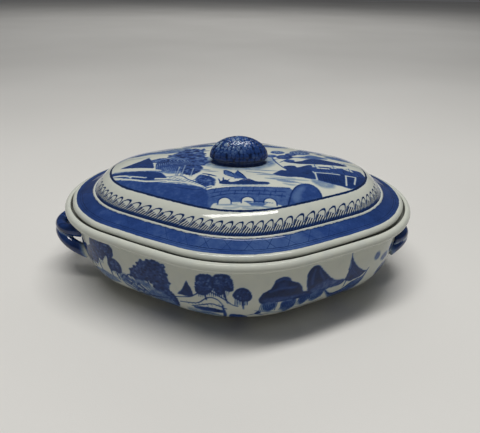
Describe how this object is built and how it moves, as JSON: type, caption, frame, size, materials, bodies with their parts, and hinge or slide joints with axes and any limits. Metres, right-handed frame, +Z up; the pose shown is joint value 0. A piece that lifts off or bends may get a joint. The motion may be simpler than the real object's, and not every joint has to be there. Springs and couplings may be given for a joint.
{
  "type": "covered serving dish",
  "caption": "Almond-shaped covered porcelain serving dish or soup tureen with rolled rim, loop handles, foot ring and domed lift-off cover with an oval berry knob.",
  "frame": {"origin": "centre of the plane that the foot ring stands on", "axes": "+X along the long axis, towards the right handle; +Y towards the back long side; +Z up"},
  "size_m": [0.2941, 0.227, 0.1137],
  "materials": {
    "dish_glaze": "glazed white porcelain, faint blue-grey cast, very smooth, painted under the glaze with cobalt blue islands, trees and boats",
    "cover_glaze": "glazed white porcelain, faint blue-grey cast, very smooth, cobalt blue brim band, looped border and a painted river landscape",
    "plain_glaze": "glazed white porcelain, faint blue-grey cast, very smooth, undecorated",
    "handle_glaze": "glazed porcelain washed with dark cobalt blue",
    "knob_glaze": "glazed porcelain washed with dark cobalt blue, pale on the raised seeds",
    "bare_foot": "unglazed biscuit porcelain, slightly rough, warm grey"
  },
  "bodies": {
    "dish": {"dish_body": "dish_glaze", "foot_ring": "bare_foot", "handle_left": "handle_glaze", "handle_right": "handle_glaze"},
    "cover": {"cover_shell": "cover_glaze", "locating_ring": "plain_glaze", "knob_stalk": "knob_glaze", "knob": "knob_glaze"}
  },
  "joints": [
    {"name": "cover_lift", "type": "slide", "parent": "dish", "child": "cover", "axis": [0, 0, 1], "range_m": [0, 0.12]}
  ]
}
